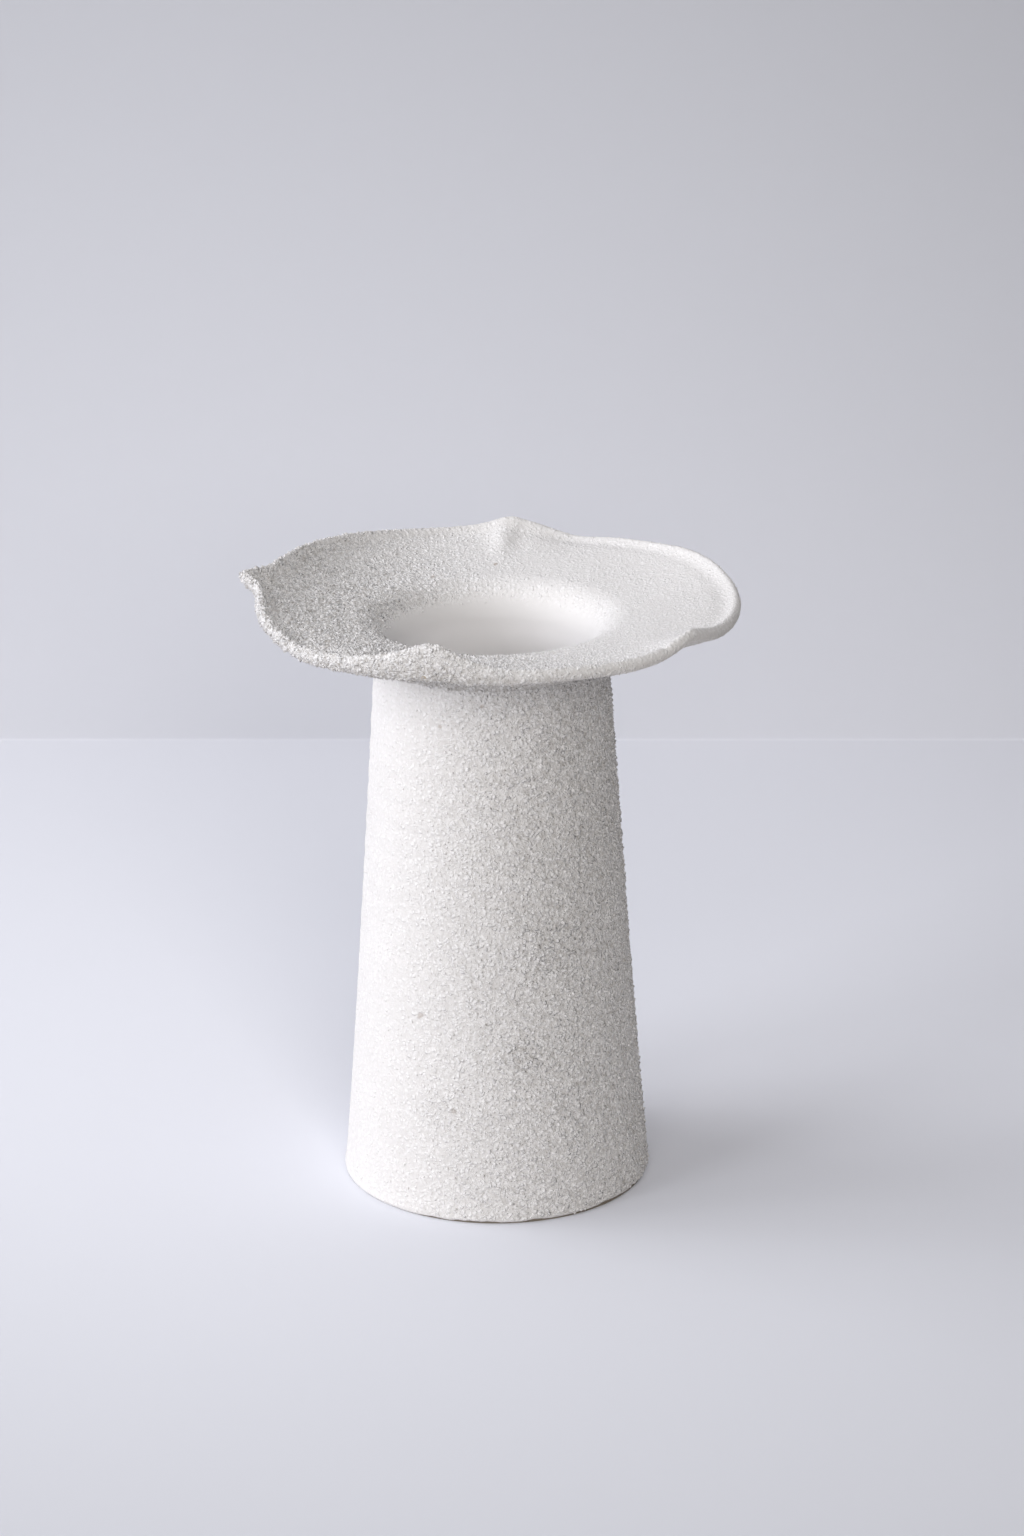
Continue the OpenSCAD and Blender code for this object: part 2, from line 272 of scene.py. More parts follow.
class VaseStage(bpy.types.PropertyGroup):
    """Camera and backdrop."""

    focal_pixels: number("Focal length", "Focal length of the camera in pixels of the photograph", 4700)
    pitch: angle("Pitch", "How far the camera looks down", 19.5426)
    distance: length("Distance", "Distance of the camera from its target", 1808.8)
    target_x: length("Target across", "Place of the target across the view", 6.05)
    target_z: length("Target height", "Height of the target", 165.1)
    wall_distance: length("Wall distance", "Distance of the backdrop behind the vase", 506.5)
    bounce: colour("Bounce", "Colour of the light that the paper throws back", (0.73, 0.722, 0.738))
    paper: colour("Paper", "Colour of the floor and backdrop", (0.706, 0.724, 0.786))


def settings(name):
    return getattr(bpy.context.scene, "vase_" + name)


def add_object(name, data):
    """A new object in the scene, at the origin."""
    made = bpy.data.objects.new(name, data)
    bpy.context.scene.collection.objects.link(made)
    return made


def opaque(tint, share=1.0):
    """A colour, or a darker one, as a node wants it."""
    return (*(share * value for value in tint), 1.0)


class NodeWriter:
    """Adds nodes to a tree and links them."""

    def __init__(self, tree):
        self.tree = tree

    def feed(self, socket, value):
        if isinstance(value, bpy.types.NodeSocket):
            self.tree.links.new(value, socket)
        else:
            socket.default_value = value

    def add(self, kind, inputs=(), **values):
        node = self.tree.nodes.new(kind)
        for name, value in values.items():
            setattr(node, name, value)
        for name, value in dict(inputs).items():
            self.feed(node.inputs[name], value)
        return node

    def operate(self, kind, operation, values):
        node = self.add(kind, operation=operation)
        for socket, value in zip(node.inputs, values):
            self.feed(socket, value)
        return node.outputs

    def math(self, operation, *values):
        return self.operate("ShaderNodeMath", operation, values)[0]

    def vector(self, operation, *values):
        outputs = self.operate("ShaderNodeVectorMath", operation, values)
        return outputs["Value" if operation == "DISTANCE" else "Vector"]

    def scaled(self, vector, factor):
        node = self.add("ShaderNodeVectorMath", {"Vector": vector, "Scale": factor}, operation="SCALE")
        return node.outputs["Vector"]

    def times(self, value, *factors):
        for factor in factors:
            value = self.math("MULTIPLY", value, factor)
        return value

    def total(self, values):
        result, *others = values
        for value in others:
            result = self.math("ADD", result, value)
        return result

    def line(self, value, slope, start):
        """A straight line: the value times its slope, and a start."""
        return self.math("MULTIPLY_ADD", value, slope, start)

    def centred(self, noise, depth):
        """A noise from 0 to 1 as a swing of half the depth either way."""
        return self.times(self.math("SUBTRACT", noise, 0.5), depth)

    def combine(self, x, y, z):
        return self.add("ShaderNodeCombineXYZ", {"X": x, "Y": y, "Z": z}).outputs[0]

    def part(self, vector, axis):
        return self.add("ShaderNodeSeparateXYZ", {"Vector": vector}).outputs[axis]

    def ramp(self, value, low, high, to_low=0.0, to_high=1.0):
        """An eased step between two values."""
        sockets = {"Value": value, "From Min": low, "From Max": high, "To Min": to_low, "To Max": to_high}
        return self.add("ShaderNodeMapRange", sockets, interpolation_type="SMOOTHSTEP").outputs[0]

    def texture(self, kind, place, sockets, **values):
        """The outputs of a texture over a place, or over each point's own place where none is given."""
        if place is not None:
            sockets["Vector"] = place
        return self.add(kind, sockets, **values).outputs

    def noise(self, scale, detail=2.0, roughness=0.5, place=None):
        sockets = {"Scale": scale, "Detail": detail, "Roughness": roughness}
        return self.texture("ShaderNodeTexNoise", place, sockets)

    def cells(self, scale, place=None):
        return self.texture("ShaderNodeTexVoronoi", place, {"Scale": scale}, feature="F1")

    def mixed(self, factor, first, second):
        """A colour between two others."""
        node = self.add("ShaderNodeMix", data_type="RGBA", clamp_factor=True)
        for name, value in (("Factor", factor), (6, first), (7, second)):
            self.feed(node.inputs[name], value)
        return node.outputs[2]

    def named(self, name):
        node = self.add("GeometryNodeInputNamedAttribute", {"Name": name}, data_type="FLOAT")
        return node.outputs["Attribute"]

    def change(self, kind, geometry, inputs=(), **values):
        """What a node makes of a geometry."""
        return self.add(kind, {"Geometry": geometry, **dict(inputs)}, **values).outputs[0]

    def store(self, geometry, name, value, domain="POINT"):
        return self.change("GeometryNodeStoreNamedAttribute", geometry, {"Name": name, "Value": value},
                           data_type="FLOAT", domain=domain)

    def random(self, seed, low, high, data_type="FLOAT_VECTOR"):
        """A random number or vector for each point."""
        node = self.add("FunctionNodeRandomValue", {"Seed": seed}, data_type=data_type)
        first = 0 if data_type == "FLOAT_VECTOR" else 2
        self.feed(node.inputs[first], low)
        self.feed(node.inputs[first + 1], high)
        return node.outputs[first // 2]


# The kind of socket for each kind of default; a socket without a default is given as its kind
SOCKET_KINDS = {float: "Float", int: "Int", tuple: "Color"}


def new_tree(name, kind, inputs, outputs):
    """A node tree with named inputs and outputs, its writer, its input sockets and its output node."""
    tree = bpy.data.node_groups.new(name, kind)
    for label, default in inputs.items():
        bare = isinstance(default, str)
        socket_kind = default if bare else SOCKET_KINDS[type(default)]
        made = tree.interface.new_socket(label, in_out="INPUT", socket_type="NodeSocket" + socket_kind)
        if not bare:
            made.default_value = default
    for label, socket_kind in outputs.items():
        tree.interface.new_socket(label, in_out="OUTPUT", socket_type="NodeSocket" + socket_kind)
    write = NodeWriter(tree)
    given = write.add("NodeGroupInput")
    return tree, write, given.outputs, write.add("NodeGroupOutput").inputs


def geometry_tree(name, inputs):
    return new_tree(name, "GeometryNodeTree", {"Geometry": "Geometry", **inputs}, {"Geometry": "Geometry"})


def end_tree(write, geometry, given, result):
    """Makes the geometry real, gives it its material and puts it out."""
    real = write.change("GeometryNodeRealizeInstances", geometry)
    painted = write.change("GeometryNodeSetMaterial", real, {"Material": given["Material"]})
    write.feed(result["Geometry"], painted)


def bump_group():
    """One smooth bump of the rim at a direction: 1 at its centre, falling away on both flanks."""
    tree, write, given, result = new_tree(
        "rim_bump", "GeometryNodeTree",
        {"Angle": 0.0, "Centre": 0.0, "Before": 10.0, "After": 10.0, "Sharpness": 2.0}, {"Height": "Float"})
    away = write.math("WRAP", write.math("SUBTRACT", given["Angle"], given["Centre"]), 180.0, -180.0)
    half = write.add("ShaderNodeMix", data_type="FLOAT")
    past = write.math("GREATER_THAN", away, 0.0)
    for place, value in ((0, past), (2, given["Before"]), (3, given["After"])):
        write.feed(half.inputs[place], value)
    ratio = write.math("DIVIDE", write.math("ABSOLUTE", away), half.outputs[0])
    falling = write.times(write.math("POWER", ratio, given["Sharpness"]), -1.0)
    write.feed(result["Height"], write.math("EXPONENT", falling))
    return tree


def bump(write, group, around, centre, before, after, sharpness):
    sockets = {"Angle": around, "Centre": float(centre), "Before": before, "After": after,
               "Sharpness": sharpness}
    return write.add("GeometryNodeGroup", sockets, node_tree=group).outputs[0]


def rim_bumps(write, group, around, span, shapes, sharpness):
    """Bumps round the rim, one for each direction and the two shares of the span that its flanks take."""
    return [bump(write, group, around, direction, write.times(span, before), write.times(span, after),
                 sharpness) for direction, before, after in shapes]


def turned_tree():
    """Turns a closed section into a ring, waves its rim and raises its grit.

    Each point of the section carries its radius and height, the share of the rim's wave that it takes,
    how much grit it has, and the direction in which that grit stands up.
    """
    tree, write, given, result = geometry_tree("turned_coat", {
        "Sides": 360, "Lean": 0.0, "Shift right": 0.0, "Shift front": 0.0,
        "Corner lift": 0.0, "Corner reach": 0.0, "Corner depth": 0.0, "Corner span": 15.0,
        "Swell lift": 0.0, "Swell draw": 0.0, "Swell span": 40.0, "Wave power": 3.0,
        "Rough side": 0.0, "Least roughness": 0.1, "Relief": 0.0, "Lump size": 0.002,
        "Band depth": 0.0, "Chip depth": 0.0, "Material": "Material"})
    circle = write.add("GeometryNodeCurvePrimitiveCircle", {"Resolution": given["Sides"], "Radius": 1.0})
    index = write.add("GeometryNodeInputIndex").outputs[0]
    turn = write.times(write.math("DIVIDE", index, given["Sides"]), math.tau)
    marked = write.store(circle.outputs["Curve"], "turn", turn)
    section = write.add("GeometryNodeMeshToCurve", {"Mesh": given["Geometry"]})
    swept = write.add("GeometryNodeCurveToMesh", {"Curve": marked, "Profile Curve": section.outputs[0]})

    turn = write.named("turn")
    around = write.math("DEGREES", turn)
    cosine = write.math("COSINE", turn)
    sine = write.math("SINE", turn)
    share = write.named("share")
    group = bump_group()
    corner_shapes = zip(CORNER_DIRECTIONS, CORNER_BEFORE_SHARES, CORNER_AFTER_SHARES)
    swell_shapes = zip(SWELL_DIRECTIONS, SWELL_SPAN_SHARES, SWELL_SPAN_SHARES)
    corners = rim_bumps(write, group, around, given["Corner span"], corner_shapes, CORNER_SHARPNESS)
    swells = rim_bumps(write, group, around, given["Swell span"], swell_shapes, SWELL_SHARPNESS)

    def wave(size, bumps, shares):
        """A size times the sum of the bumps, each times its share."""
        taken = [write.times(made, float(part)) for made, part in zip(bumps, shares) if part]
        return write.times(given[size], write.total(taken))

    def turned(flat, up):
        """A place or direction in the plane of the axis, turned to where it belongs on the ring."""
        return write.combine(write.times(flat, cosine), write.times(flat, sine), up)

    rise = write.total([wave("Corner lift", corners, CORNER_LIFT_SHARES),
                        wave("Swell lift", swells, SWELL_LIFT_SHARES)])
    drop = write.times(wave("Corner depth", corners, CORNER_DEPTH_SHARES), write.named("low"))
    rise = write.math("SUBTRACT", rise, drop)
    reach = write.total([
        write.times(given["Shift right"], cosine),
        write.times(given["Shift front"], sine, -1.0),
        wave("Corner reach", corners, CORNER_REACH_SHARES),
        write.times(wave("Swell draw", swells, SWELL_DRAW_SHARES), -1.0)])
    radius = write.line(reach, share, write.named("from_axis"))
    height = write.line(rise, write.math("POWER", share, given["Wave power"]), write.named("above"))
    height = write.total([height, leaf_marks(write, group, around, share)])
    shaped = write.change("GeometryNodeSetPosition", swept.outputs[0], {"Position": turned(radius, height)})

    kept = write.store(shaped, "rough", roughness(write, turn, given))
    relief = write.times(grit_height(write, given["Lump size"]), given["Relief"],
                         write.line(write.named("rough"), ROUGH_RELIEF, SMOOTH_RELIEF))
    bands = write.times(throwing_bands(write), given["Band depth"])
    raised = write.times(write.total([relief, bands]), write.named("grit"))
    chips = write.combine(0.0, 0.0, write.times(chip_height(write), given["Chip depth"], write.named("hem")))
    direction = turned(write.named("out_flat"), write.named("out_up"))
    offset = write.vector("ADD", write.scaled(direction, raised), chips)
    gritty = write.change("GeometryNodeSetPosition", kept, {"Offset": offset})
    welded = write.change("GeometryNodeMergeByDistance", gritty, {"Distance": WELD})
    tilt = write.combine(0.0, write.times(given["Lean"], -1.0), 0.0)
    leaned = write.change("GeometryNodeTransform", welded, {"Rotation": tilt})
    smooth = write.change("GeometryNodeSetShadeSmooth", leaned)
    bend = write.add("GeometryNodeInputMeshEdgeAngle").outputs["Unsigned Angle"]
    sharp = write.math("GREATER_THAN", bend, CREASE)
    bare = write.change("GeometryNodeSetShadeSmooth", smooth, {"Selection": sharp, "Shade Smooth": False},
                        domain="EDGE")
    for label in (*SECTION_LABELS, "turn"):
        if label not in SHOWN_LABELS:
            bare = write.change("GeometryNodeRemoveAttribute", bare, {"Name": label})
    end_tree(write, bare, given, result)
    return tree


def leaf_marks(write, group, around, share):
    """Ridges, hollows and nicks on the upper side of the leaf."""
    # The bumps wrap at 180, so the share of the way out goes into them as a percentage
    percent = 100.0
    outward = write.times(share, percent)
    heights = []
    for direction, half_angle, place, half_width, height in LEAF_MARKS:
        half = percent * half_width
        along = bump(write, group, around, direction, half_angle, half_angle, MARK_SHARPNESS)
        across = bump(write, group, outward, percent * place, half, half, MARK_SHARPNESS)
        heights.append(write.times(along, across, height))
    upper = write.math("SUBTRACT", 1.0, write.named("low"))
    return write.times(write.total(heights), write.times(upper, write.named("wavy")))


def own_position(write):
    return write.add("GeometryNodeInputPosition").outputs[0]


def roughness(write, turn, given):
    """How rough the grit is, where 1 is full: finest on one side, coarsest opposite and in the patches."""
    # The roughest side is the side whose grit lies most in shade; besides the relief, the grit shader paints
    # more shade into the hollows there
    side = write.math("COSINE", write.math("SUBTRACT", turn, given["Rough side"]))
    values = [write.ramp(side, LEAST_UP_TO, 1.0, given["Least roughness"], ROUGHEST_SIDE)]
    position = own_position(write)
    for centre, radius in BODY_PATCHES:
        away = write.vector("DISTANCE", position, centre)
        values.append(write.ramp(away, radius * PATCH_GONE, radius * PATCH_FULL, 0.0, PATCH_ADDS))
    return write.math("MINIMUM", write.total(values), ROUGHNESS_LIMIT)


def grit_height(write, lump):
    """Lumps of grit of two sizes on broad swells, as a height that swings about zero."""
    cloud_rate, broad_rate = 1.4, 0.22
    cloud_depth, broad_depth = 1.6, 1.0
    lump_middle = 0.55
    scale = write.math("DIVIDE", 1.0, lump)
    lumps = write.math("SUBTRACT", lump_middle, write.cells(scale)["Distance"])
    cloud = write.noise(write.times(scale, cloud_rate), detail=3.0, roughness=0.7)[0]
    broad = write.noise(write.times(scale, broad_rate), detail=1.0)[0]
    return write.total([lumps, write.centred(cloud, cloud_depth), write.centred(broad, broad_depth)])


def throwing_bands(write):
    """Faint rings left by the potter's fingers, strongest on the upper body."""
    wobble_scale, wobble_reach = 12.0, 9.0
    faint_below, strong_above, faintest = 60 * MM, 160 * MM, 0.25
    height = write.part(own_position(write), "Z")
    wobble = write.times(write.noise(wobble_scale, detail=1.0)[0], wobble_reach)
    phase = write.total([write.times(height, BAND_RATE), wobble])
    strength = write.ramp(height, faint_below, strong_above, faintest, 1.0)
    return write.times(write.math("SINE", phase), strength)


def chip_height(write):
    """Notches in the lower edge of the coat."""
    chip_scale, chip_starts, chip_deepest = 90.0, 0.42, 0.75
    return write.ramp(write.noise(chip_scale, detail=3.0, roughness=0.6)[0], chip_starts, chip_deepest)


def run_tree(name, mesh, tree, values):
    """Runs a tree on a mesh and returns the result as a plain mesh object at the origin."""
    source = add_object(name + "_source", mesh)
    modifier = source.modifiers.new("shape", "NODES")
    modifier.node_group = tree
    for item in tree.interface.items_tree:
        if item.in_out == "INPUT" and item.name in values:
            modifier[item.identifier] = values[item.name]
    graph = bpy.context.evaluated_depsgraph_get()
    made = bpy.data.meshes.new_from_object(source.evaluated_get(graph))
    bpy.data.objects.remove(source)
    made.name = name
    made.materials.clear()
    made.materials.append(values["Material"])
    return add_object(name, made)


def section_mesh(name, rows, closed=True):
    """A line of points in the plane of the axis, with what each carries; it turns into an outward surface."""
    line = np.array([(r["from_axis"], r["above"]) for r in rows])
    area = np.sum(line[:, 0] * np.roll(line[:, 1], -1) - np.roll(line[:, 0], -1) * line[:, 1])
    if area > 0:
        rows = rows[::-1]
    mesh = bpy.data.meshes.new(name)
    count = len(rows)
    edges = [(i, (i + 1) % count) for i in range(count if closed else count - 1)]
    mesh.from_pydata([(r["from_axis"], 0.0, r["above"]) for r in rows], edges, [])
    for label in SECTION_LABELS:
        data = mesh.attributes.new(label, "FLOAT", "POINT")
        data.data.foreach_set("value", [float(r.get(label, 0.0)) for r in rows])
    return mesh


def directions_out(points):
    """Unit directions that point out of a line of (radius, height) points, to its left."""
    points = np.array(points)
    along = np.empty_like(points)
    along[1:-1] = points[2:] - points[:-2]
    along[0] = points[1] - points[0]
    along[-1] = points[-1] - points[-2]
    along /= np.linalg.norm(along, axis=1)[:, None]
    return np.stack([-along[:, 1], along[:, 0]], axis=1)


def signed_power(value, power):
    return math.copysign(abs(value) ** power, value)


def evenly(low, high, step):
    """Values from low to high about a step apart, both ends included."""
    return np.linspace(low, high, max(2, round(abs(high - low) / step) + 1))


class Outline:
    """The finished outline of the pot's sections, worked out from its sizes."""

    # The hollow inside the lip's bead: its depth as a share of the bead, and its place in half-widths of it
    HOLLOW_DEPTH = 0.45
    HOLLOW_PLACE = 2.4

    def __init__(self):
        self.pot = pot = settings("pot")
        self.leaf = leaf = settings("leaf")
        self.neck_z = pot.neck_height
        self.bore = pot.neck_radius - pot.grit_thickness - pot.wall_neck - pot.liner_thickness
        self.roll_r = self.bore + leaf.roll_width
        self.roll_z = pot.neck_height + leaf.throat_height
        self.rim_z = pot.neck_height + leaf.rim_height
        slope = (self.rim_z - self.roll_z - leaf.roll_height) / (leaf.radius - self.roll_r)
        self.roll_end = math.pi / 2 - math.atan(slope * leaf.roll_width / leaf.roll_height)
        self.sweep_r = pot.neck_radius + leaf.sweep_width
        slope = (self.rim_z - leaf.lip - pot.neck_height - leaf.sweep_height) / (leaf.radius - self.sweep_r)
        self.sweep_end = math.pi / 2 - math.atan(slope * leaf.sweep_width / leaf.sweep_height)

    def side_radius(self, z):
        share = (max(z, 0.0) / self.neck_z) ** self.pot.flare_power
        return self.pot.foot_radius + (self.pot.neck_radius - self.pot.foot_radius) * share

    def inner_radius(self, z):
        wall = self.pot.wall_foot + (self.pot.wall_neck - self.pot.wall_foot) * z / self.neck_z
        return self.side_radius(z) - self.pot.grit_thickness - wall

    def roll(self, turned):
        return (self.roll_r - self.leaf.roll_width * math.cos(turned),
                self.roll_z + self.leaf.roll_height * math.sin(turned))

    def sweep(self, turned):
        return (self.sweep_r - self.leaf.sweep_width * math.cos(turned),
                self.neck_z + self.leaf.sweep_height * math.sin(turned))

    def bead(self, radius):
        """Height of the bead along the lip, with a shallow hollow inside it."""
        inward = (self.leaf.radius - radius - self.leaf.bead_inset) / self.leaf.bead_width
        hollow = self.HOLLOW_DEPTH * math.exp(-(inward - self.HOLLOW_PLACE) ** 2 / 2)
        return self.leaf.bead_height * (math.exp(-inward ** 2) - hollow)

    def face(self, step):
        """Points of the leaf's face from the throat over the lip to the neck.

        Each has its radius, height, share of the rim's wave and, from 0 to 1, how far down the lip it is.
        """
        leaf = self.leaf
        edge = leaf.radius - leaf.lip_round
        roll_length = math.hypot(leaf.roll_width, leaf.roll_height)
        roll_step = step / roll_length * self.roll_end
        rows = [(*self.roll(a), 0.0, 0.0) for a in evenly(0, self.roll_end, roll_step)]
        start = rows[-1]
        for share in evenly(0, 1, step / (edge - start[0]))[1:]:
            radius = start[0] + (edge - start[0]) * share
            rows.append((radius, start[1] + (self.rim_z - start[1]) * share + self.bead(radius), share, 0.0))
        nose_step = step / (math.pi * leaf.lip / 2) * math.pi
        for a in evenly(math.pi / 2, -math.pi / 2, nose_step)[1:]:
            low = 0.5 - 0.5 * signed_power(math.sin(a), leaf.lip_power)
            radius = edge + leaf.lip_round * signed_power(math.cos(a), leaf.lip_power)
            height = self.rim_z - leaf.lip * low + self.bead(radius) * (1 - low)
            rows.append((radius - leaf.lip_undercut * low, height, 1.0, low))
        end = self.sweep(self.sweep_end)
        low_edge = edge - leaf.lip_undercut
        low_lip = self.rim_z - leaf.lip
        for share in evenly(1, 0, step / (low_edge - end[0]))[1:]:
            radius = end[0] + (low_edge - end[0]) * share
            rows.append((radius, end[1] + (low_lip - end[1]) * share, share, 1.0))
        sweep_length = math.hypot(leaf.sweep_width, leaf.sweep_height)
        for a in evenly(self.sweep_end, 0, step / sweep_length * self.sweep_end)[1:]:
            rows.append((*self.sweep(a), 0.0, 1.0))
        return np.array(rows)


def loop_rows(face, under, grit, out, skip, **carried):
    """A closed section: its finished face, then a coarser back face."""
    rows = [dict(from_axis=p[0], above=p[1], grit=g, out_flat=o[0], out_up=o[1])
            for p, g, o in zip(face, grit, out)]
    kept = sorted(set(range(0, len(face), skip)) | {0, len(face) - 1})
    rows += [dict(from_axis=under[i][0], above=under[i][1]) for i in reversed(kept)]
    for label, values in carried.items():
        for row, i in zip(rows, [*range(len(face)), *reversed(kept)]):
            row[label] = values[i]
    return rows


def tree_values(material, **others):
    """The values for a tree: each setting whose name is also the name of an input, and others.

    A setting is found by its name, so a new name for one needs the same new name for the input.
    """
    values = {"Material": material_named(material)}
    for group in ("pot", "leaf", "grit"):
        look = settings(group)
        values.update((item.name, getattr(look, item.identifier)) for item in look.bl_rna.properties)
    values.update((label.replace("_", " "), value) for label, value in others.items())
    return values


def object_place(write):
    return write.add("ShaderNodeTexCoord").outputs["Object"]


def grit_shader_group():
    """Colour, height and roughness of the grit seen close: bright grains of two sizes, their random tone, and
    painted shade in the hollows between them.
    """
    tree, write, given, result = new_tree("grit_surface", "ShaderNodeTree", {
        "White": (0.8, 0.8, 0.8, 1), "Shade": (0.6, 0.6, 0.6, 1), "Bare": (0.7, 0.7, 0.7, 1), "Cover": 1.0,
        "Rough": 1.0, "Tone": 0.0, "Painted shade": 0.0, "Grain size": 0.0013, "Grain tone and hollow shade": 0.5,
        "Spot": (0.4, 0.33, 0.28, 1)}, {"Color": "Color", "Height": "Float", "Roughness": "Float"})
    # Each pair is where a grain ends and where it is at its full height, as a distance from its middle
    grain_span, dust_span = (0.6, 0.12), (0.55, 0.1)
    grain_least, grain_by_tone, dust_height, fine_depth = 0.3, 0.9, 0.35, 1.1
    fine_rate, dust_rate, warp_rate, warp_reach = 0.8, 1.9, 0.5, 1.4
    drift_scale, drift_depth = 45.0, 0.15
    middle_height, dull_by_tone = 0.21, 0.3
    dull_base, dull_by_rough = 0.26, -0.1
    # Painted shade on the lip's lower edge and under the leaf: how far down it starts and is full, how much
    # it is, and the places across between which it grows from a share of that, so that it is lightest on the
    # left, towards the lamps
    lip_shade_starts, lip_shade_full, lip_shade_depth = 0.1, 0.8, 0.32
    lip_shade_left, lip_shade_right, lip_shade_share = -85 * MM, -30 * MM, 0.2
    spot_core, ragged_depth = 0.4, 0.6
    height_base, height_by_rough = 0.2, 0.8
    dull_finish, bright_finish = 0.9, 0.55
    place = object_place(write)
    scale = write.math("DIVIDE", 1.0, given["Grain size"])
    warp = write.noise(write.times(scale, warp_rate), place=place)["Color"]
    bend = write.scaled(write.vector("SUBTRACT", warp, (0.5, 0.5, 0.5)),
                        write.times(given["Grain size"], warp_reach))
    bent = write.vector("ADD", place, bend)
    grains = write.cells(scale, bent)
    tone = write.add("ShaderNodeSeparateColor", {"Color": grains["Color"]}).outputs[0]
    fine = write.noise(write.times(scale, fine_rate), detail=3.0, roughness=0.7, place=place)[0]
    broad = write.noise(drift_scale, place=place)[0]
    small = write.cells(write.times(scale, dust_rate), bent)
    full = write.line(tone, grain_by_tone, grain_least)
    grain = write.times(write.ramp(grains["Distance"], *grain_span), full)
    dust = write.times(write.ramp(small["Distance"], *dust_span), dust_height)
    height = write.total([grain, dust, write.centred(fine, fine_depth)])

    # How much of the shade colour shows: in random drifts; as each grain's random tone with painted shade in
    # the hollows between grains, strongest where the grit is rough; as painted shade on the lip's lower edge;
    # and evenly everywhere, a little less where the grit is rough
    drift = write.centred(broad, drift_depth)
    dull = write.line(given["Tone"], dull_by_tone, write.math("SUBTRACT", middle_height, height))
    # Each grain's random tone, and painted shade in the hollows between grains, more where the grit is rough
    grain_tone_and_hollow_shade = write.times(dull, given["Grain tone and hollow shade"], given["Rough"])
    # Painted shade on the lip's lower edge and the underside, lightest towards the lamps on the left
    lip_shade = write.times(write.ramp(given["Painted shade"], lip_shade_starts, lip_shade_full, 0.0, lip_shade_depth),
                       write.ramp(write.part(place, "X"), lip_shade_left, lip_shade_right, lip_shade_share, 1.0))
    base = write.line(given["Rough"], dull_by_rough, dull_base)
    grit = write.mixed(write.total([drift, grain_tone_and_hollow_shade, lip_shade, base]), given["White"], given["Shade"])
    spots = []
    # Brown spots, and pits drawn as dark dots of painted shade
    for centre, radius, strength in GRIT_SPOTS_AND_PAINTED_PITS:
        away = write.vector("DISTANCE", bent, centre)
        spots.append(write.ramp(away, radius, radius * spot_core, 0.0, strength))
    spotted = write.mixed(write.total(spots), grit, given["Spot"])
    ragged = write.line(write.math("SUBTRACT", fine, 0.5), ragged_depth, given["Cover"])
    fade = write.ramp(ragged, LEAST_COVER, FULL_COVER)
    rough_height = write.line(given["Rough"], height_by_rough, height_base)
    write.feed(result["Color"], write.mixed(fade, given["Bare"], spotted))
    write.feed(result["Height"], write.times(height, fade, rough_height))
    write.feed(result["Roughness"], write.ramp(tone, 0.0, 1.0, dull_finish, bright_finish))
    return tree


def new_material(name):
    """A material, its writer and its shader."""
    material = bpy.data.materials.new(name)
    material.use_nodes = True
    write = NodeWriter(material.node_tree)
    return material, write, material.node_tree.nodes["Principled BSDF"]


def feed_shader(write, shader, tint, finish, height, strength, distance):
    """Gives a shader its colour, its roughness and the bump that a height makes."""
    relief = write.add("ShaderNodeBump", {"Strength": strength, "Distance": distance, "Height": height})
    for label, value in (("Base Color", tint), ("Roughness", finish), ("Normal", relief.outputs[0])):
        write.feed(shader.inputs[label], value)


def grit_material(look, group):
    write, shader = new_material("coarse grit")[1:]
    # Where the grit fades out it takes the liner's painted-shade colour
    sockets = {"White": opaque(look.white), "Shade": opaque(look.shade), "Bare": opaque(look.thin_liner),
               "Spot": opaque(look.spot), "Grain size": SHADED_GRAIN, "Grain tone and hollow shade": GRAIN_TONE_AND_HOLLOW_SHADE}
    # How far down the lip a point lies sets the painted shade on the lip's lower edge
    for label, attribute in (("Cover", "grit"), ("Rough", "rough"), ("Tone", "tone"), ("Painted shade", "low")):
        sockets[label] = write.add("ShaderNodeAttribute", attribute_name=attribute).outputs["Fac"]
    surface = write.add("ShaderNodeGroup", sockets, node_tree=group).outputs
    feed_shader(write, shader, surface["Color"], surface["Roughness"], surface["Height"], 1.0, GRIT_BUMP)
    shader.inputs["Specular IOR Level"].default_value = GRIT_SHINE


def liner_material(look):
    write, shader = new_material("satin liner")[1:]
    cloud_scale, fine_scale, thinnest = 60.0, 700.0, 0.75
    shiny, dull, bump_strength, bump_depth = 0.55, 0.72, 0.15, 0.1 * MM
    place = object_place(write)
    cloud = write.noise(cloud_scale, detail=3.0, place=place)[0]
    # Painted shade: the liner darkens towards its top, over the roll that faces the lamps
    thick = write.ramp(write.part(place, "Z"), LINER_UNSHADED_BELOW + LINER_SHADE_GROWS_OVER, LINER_UNSHADED_BELOW)
    patchy = write.times(thick, write.ramp(cloud, *CLOUD_SPAN, 1.0, thinnest))
    tint = write.mixed(patchy, opaque(look.thin_liner), opaque(look.liner))
    fine = write.noise(fine_scale, place=place)[0]
    finish = write.ramp(cloud, *CLOUD_SPAN, shiny, dull)
    feed_shader(write, shader, tint, finish, fine, bump_strength, bump_depth)


